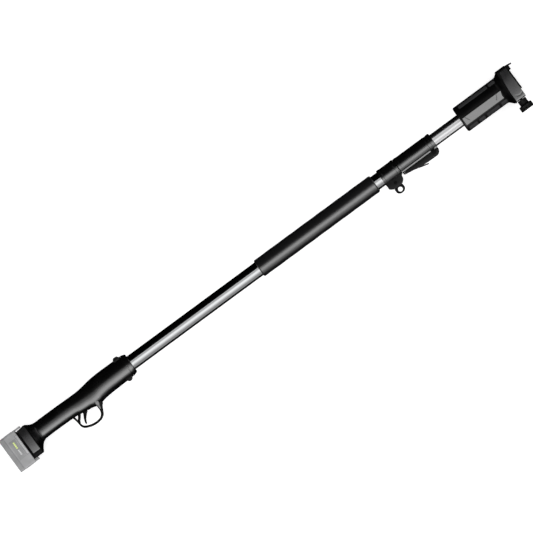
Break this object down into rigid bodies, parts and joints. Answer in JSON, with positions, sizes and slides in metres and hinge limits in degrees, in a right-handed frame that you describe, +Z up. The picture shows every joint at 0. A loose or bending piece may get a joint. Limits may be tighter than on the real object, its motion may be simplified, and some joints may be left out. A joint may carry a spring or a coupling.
{
  "type": "telescopic extension pole for a cordless garden tool",
  "caption": "Telescopic pole that carries a cordless tool head: battery foot, trigger grip, foam sleeve, flip-lever clamp, sliding inner tube and a tool adapter with thumbscrew.",
  "frame": {"origin": "on the floor under the middle of the pole, which lies on its side", "axes": "+X along the pole from the battery to the tool end, +Y away from the trigger, +Z up"},
  "size_m": [1.2164, 0.094, 0.1124],
  "materials": {
    "black_plastic": "fine textured black nylon",
    "dark_plastic": "satin dark grey",
    "pack_plastic": "satin mid grey",
    "foam": "closed-cell foam",
    "aluminium": "bright anodised",
    "steel": "zinc plated",
    "brass": "bare",
    "cell": "shrink-wrapped can",
    "board": "solder mask",
    "cable": "matte jacket",
    "lead": "matte jacket",
    "gauge": "gloss lens",
    "rubber_pad": "matte"
  },
  "bodies": {
    "handle": {"handle_shell_front": "black_plastic", "handle_shell_back": "black_plastic", "nose_ring": "black_plastic", "battery_socket": "dark_plastic", "terminal_block": "black_plastic", "terminal_blade_1": "brass", "terminal_blade_2": "brass", "trigger_switch": "dark_plastic", "trigger_pin": "steel", "control_board": "board", "battery_lead": "lead", "switch_lead": "lead", "handle_screw_1": "steel", "handle_screw_2": "steel", "handle_screw_3": "steel", "handle_screw_4": "steel", "handle_screw_5": "steel", "outer_tube": "aluminium", "foam_grip": "foam", "clamp_collar": "black_plastic", "harness_eye": "steel", "bracket_screw": "steel", "clamp_sleeve": "black_plastic", "lever_pin": "steel", "brake_shoe": "rubber_pad", "coiled_cable": "cable"},
    "trigger": {"trigger": "black_plastic", "trigger_spring": "steel"},
    "plunger": {"switch_plunger": "black_plastic"},
    "lever": {"clamp_lever": "dark_plastic"},
    "tool_end": {"inner_tube": "aluminium", "guide_bush": "black_plastic", "head_housing_front": "black_plastic", "head_housing_back": "black_plastic", "head_screw_1": "steel", "head_screw_2": "steel", "head_screw_3": "steel", "head_screw_4": "steel", "tool_adapter": "black_plastic", "adapter_terminal_block": "dark_plastic", "adapter_contact_1": "brass", "adapter_contact_2": "brass", "screw_insert": "brass"},
    "pad": {"clamp_pad": "rubber_pad"},
    "knob": {"thumbscrew": "black_plastic"},
    "battery": {"pack_lower_case": "pack_plastic", "pack_upper_case": "pack_plastic", "cell_1": "cell", "cell_2": "cell", "cell_3": "cell", "cell_4": "cell", "cell_5": "cell", "pack_board": "board", "pack_contact_1": "brass", "pack_contact_2": "brass", "charge_gauge": "gauge", "release_spring": "steel"},
    "release": {"release_button": "dark_plastic"}
  },
  "joints": [
    {"name": "trigger_pull", "type": "hinge", "parent": "handle", "child": "trigger", "pos_m": [-0.4417, -0.00115, 0.05], "axis": [0, 0, -1], "range_deg": [0, 12], "stiffness_Nm_per_rad": 0.5, "springref_deg": -5.73},
    {"name": "plunger_push", "type": "slide", "parent": "handle", "child": "plunger", "axis": [1, 0, 0], "range_m": [0, 0.0024]},
    {"name": "lever_flip", "type": "hinge", "parent": "handle", "child": "lever", "pos_m": [0.3206, -0.00605, 0.05], "axis": [0, 0, -1], "range_deg": [0, 90]},
    {"name": "pole_extend", "type": "slide", "parent": "handle", "child": "tool_end", "axis": [1, 0, 0], "range_m": [-0.06, 0.5], "deforming": ["coiled_cable"]},
    {"name": "knob_spin", "type": "hinge", "parent": "pad", "child": "knob", "pos_m": [0.5833, -0.02815, 0.05], "axis": [0, -1, 0], "range_deg": [0, 1445]},
    {"name": "pad_travel", "type": "slide", "parent": "tool_end", "child": "pad", "axis": [0, -1, 0], "range_m": [0, 0.006]},
    {"name": "battery_slide", "type": "slide", "parent": "handle", "child": "battery", "axis": [0, 0, 1], "range_m": [0, 0.09]},
    {"name": "release_press", "type": "slide", "parent": "battery", "child": "release", "axis": [0, 0, -1], "range_m": [0, 0.003], "stiffness_N_per_m": 900, "springref_m": -0.002, "deforming": ["release_spring"]}
  ],
  "couplings": [
    {"joint": "plunger_push", "follows": "trigger_pull", "m_per_rad": 0.0105},
    {"joint": "knob_spin", "follows": "pad_travel", "rad_per_m": 4188.8}
  ]
}
